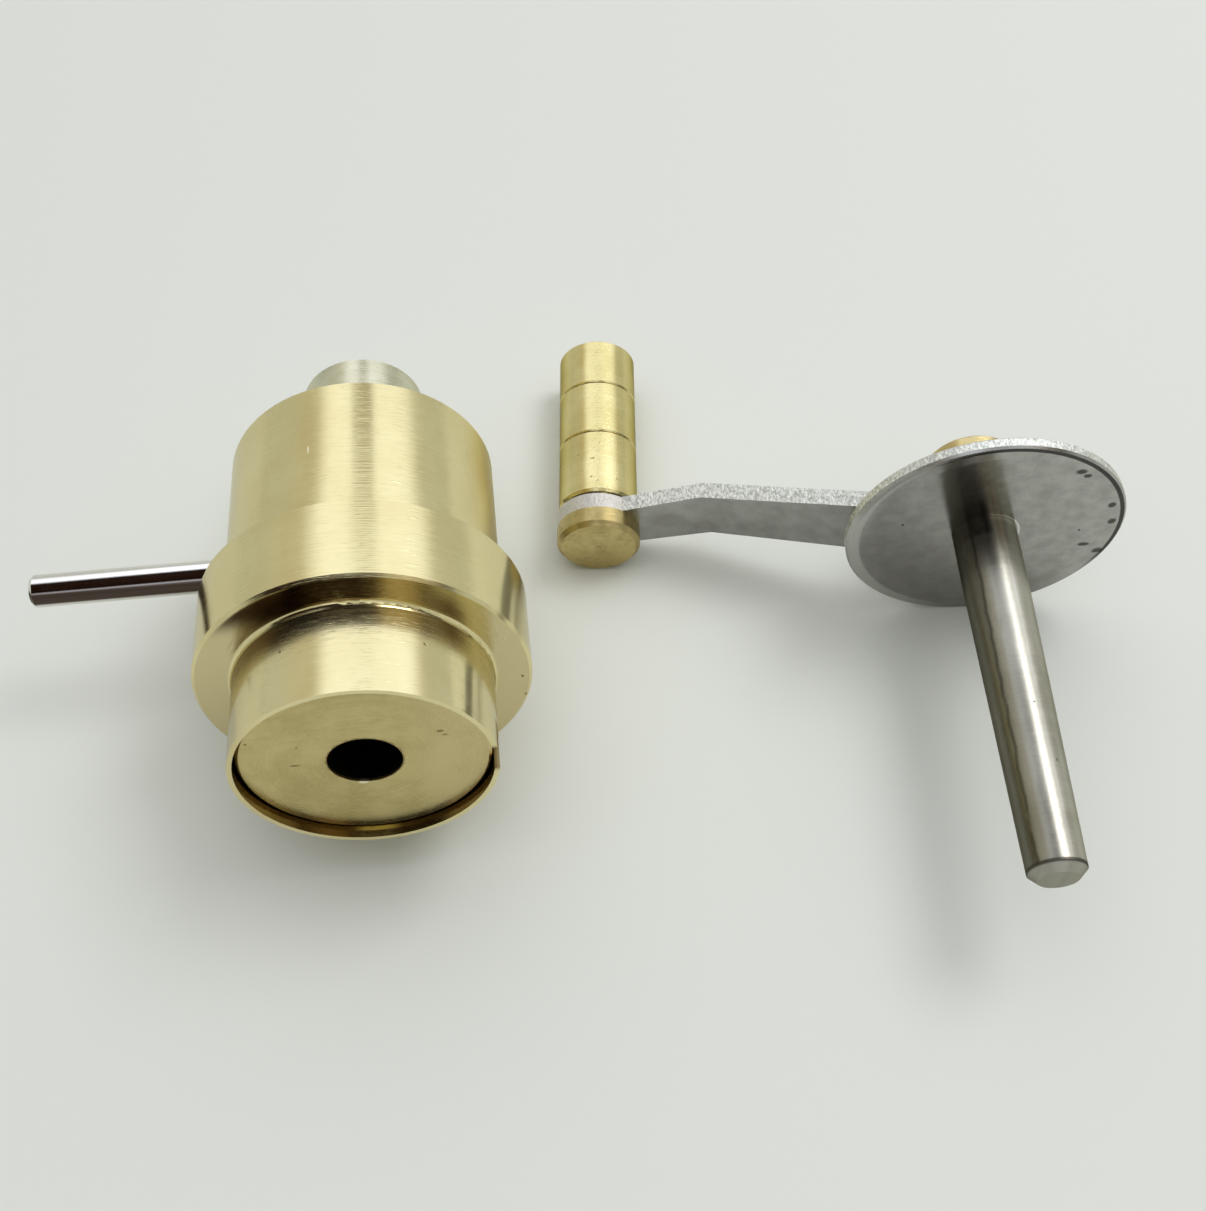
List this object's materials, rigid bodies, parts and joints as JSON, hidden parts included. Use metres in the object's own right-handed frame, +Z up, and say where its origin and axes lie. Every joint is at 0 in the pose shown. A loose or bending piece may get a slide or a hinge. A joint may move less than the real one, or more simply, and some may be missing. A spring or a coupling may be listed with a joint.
{
  "type": "watch mainspring winder",
  "caption": "Brass winding drum with slotted tube, push-out plunger and cross rod, and a loose hand crank with a tapered steel arbor, cover disc and turning brass grip.",
  "frame": {"origin": "middle of the space that the two units take up on the bench, at bench level", "axes": "+Z up from the bench, +X from the drum unit towards the crank unit, -Y the way the drum's mouth and the arbor point"},
  "size_m": [0.047, 0.0312, 0.0139],
  "materials": {
    "brass": "turned, satin",
    "brass_tube": "turned, bright",
    "brass_plunger": "faced, satin",
    "bright_steel": "polished",
    "turned_steel": "turned, satin",
    "sheet_steel": "tumbled sheet"
  },
  "bodies": {
    "drum": {"drum_body": "brass", "drum_collar": "brass", "spring_tube": "brass_tube", "handle_rod": "bright_steel"},
    "plunger": {"plunger_head": "brass_plunger", "plunger_stem": "turned_steel", "push_knob": "turned_steel"},
    "crank": {"arbor": "turned_steel", "arbor_hook": "turned_steel", "cover_disc": "sheet_steel", "crank_arm": "sheet_steel", "hub_boss": "brass", "grip_button": "brass", "grip_pin": "turned_steel", "grip_washer": "bright_steel", "grip_retainer": "turned_steel"},
    "crank_grip": {"grip": "brass"}
  },
  "joints": [
    {"name": "plunger_slide", "type": "slide", "parent": "drum", "child": "plunger", "axis": [0, -0.9917, 0.1288], "range_m": [-0.0015, 0.00075]},
    {"name": "crank_lift", "type": "slide", "parent": "drum", "child": "crank", "axis": [0, 0, 1], "range_m": [0, 0.02]},
    {"name": "grip_spin", "type": "hinge", "parent": "crank", "child": "crank_grip", "pos_m": [0.00108, 0.00623, 0.00193], "axis": [0.095, 0.9954, -0.0079], "continuous": true}
  ]
}
